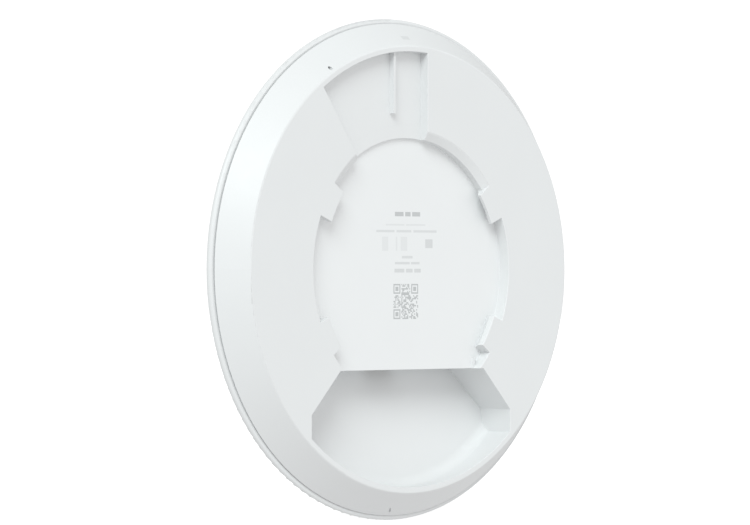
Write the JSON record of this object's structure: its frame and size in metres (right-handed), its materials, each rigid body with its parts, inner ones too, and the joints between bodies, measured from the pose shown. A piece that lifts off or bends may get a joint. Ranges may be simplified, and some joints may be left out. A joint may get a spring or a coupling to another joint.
{
  "type": "ceiling access point",
  "caption": "Round domed access point whose flat back has a bayonet recess for its bracket, a latch pocket and a deep cable bay over a network socket.",
  "frame": {"origin": "on the disc's axis, in the plane of the flat mounting face at its back, which is also the mouth of the bracket recess", "axes": "+Y points out of the back, at the wall or ceiling; -Y is the domed front; +Z runs from the cable bay to the latch pocket, up when the unit hangs on a wall; +X completes the frame. For a ceiling, turn the part so that +Y points up."},
  "size_m": [0.1714, 0.033, 0.1714],
  "materials": {
    "housing": "fine satin moulded texture, cool white",
    "housing_front": "smooth satin, cool white",
    "light_window": "milky translucent",
    "light_guide": "clear moulded",
    "led": "phosphor window in a white case",
    "circuit_board": "solder mask over copper",
    "screw": "zinc plated",
    "nickel_sheet": "nickel plated sheet",
    "jack_plastic": "black moulded",
    "contact_metal": "gold plated",
    "component_black": "moulded epoxy",
    "ferrite": "sintered, slightly rough",
    "winding_tape": "polyester tape over copper wire",
    "capacitor_can": "drawn can",
    "thermal_pad": "soft silicone",
    "heat_sink_metal": "extruded and milled",
    "antenna_metal": "tin plated stamping",
    "spring_metal": "rolled spring steel",
    "plunger_plastic": "moulded"
  },
  "bodies": {
    "housing": {"back_cover": "housing", "bracket_cup": "housing", "cable_bay": "housing", "front_cover": "housing_front", "light_ring": "light_window", "centre_cap": "housing_front", "light_guide": "light_guide", "status_leds": "led", "main_board": "circuit_board", "board_screws": "screw", "jack_shell": "nickel_sheet", "jack_insert": "jack_plastic", "jack_contacts": "contact_metal", "lan_transformer": "component_black", "power_transformer_core": "ferrite", "power_transformer_winding": "winding_tape", "power_inductors": "ferrite", "power_capacitors": "capacitor_can", "processor": "component_black", "memory_chip": "component_black", "flash_chip": "component_black", "radio_chip_5g": "component_black", "radio_chip_2g": "component_black", "processor_can_frame": "nickel_sheet", "processor_can_lid": "nickel_sheet", "radio_can_frame": "nickel_sheet", "radio_can_lid": "nickel_sheet", "thermal_pads": "thermal_pad", "heat_sink": "heat_sink_metal", "heat_sink_screws": "screw", "antenna_2g_left": "antenna_metal", "antenna_2g_right": "antenna_metal", "antenna_5g_left": "antenna_metal", "antenna_5g_right": "antenna_metal", "reset_switch_base": "component_black", "reset_switch_cover": "nickel_sheet", "reset_switch_dome": "spring_metal"},
    "reset_button": {"reset_plunger": "plunger_plastic"}
  },
  "joints": [
    {"name": "reset_press", "type": "slide", "parent": "housing", "child": "reset_button", "axis": [0, -1, 0], "range_m": [0, 0.00025], "stiffness_N_per_m": 500, "springref_m": -0.003}
  ]
}
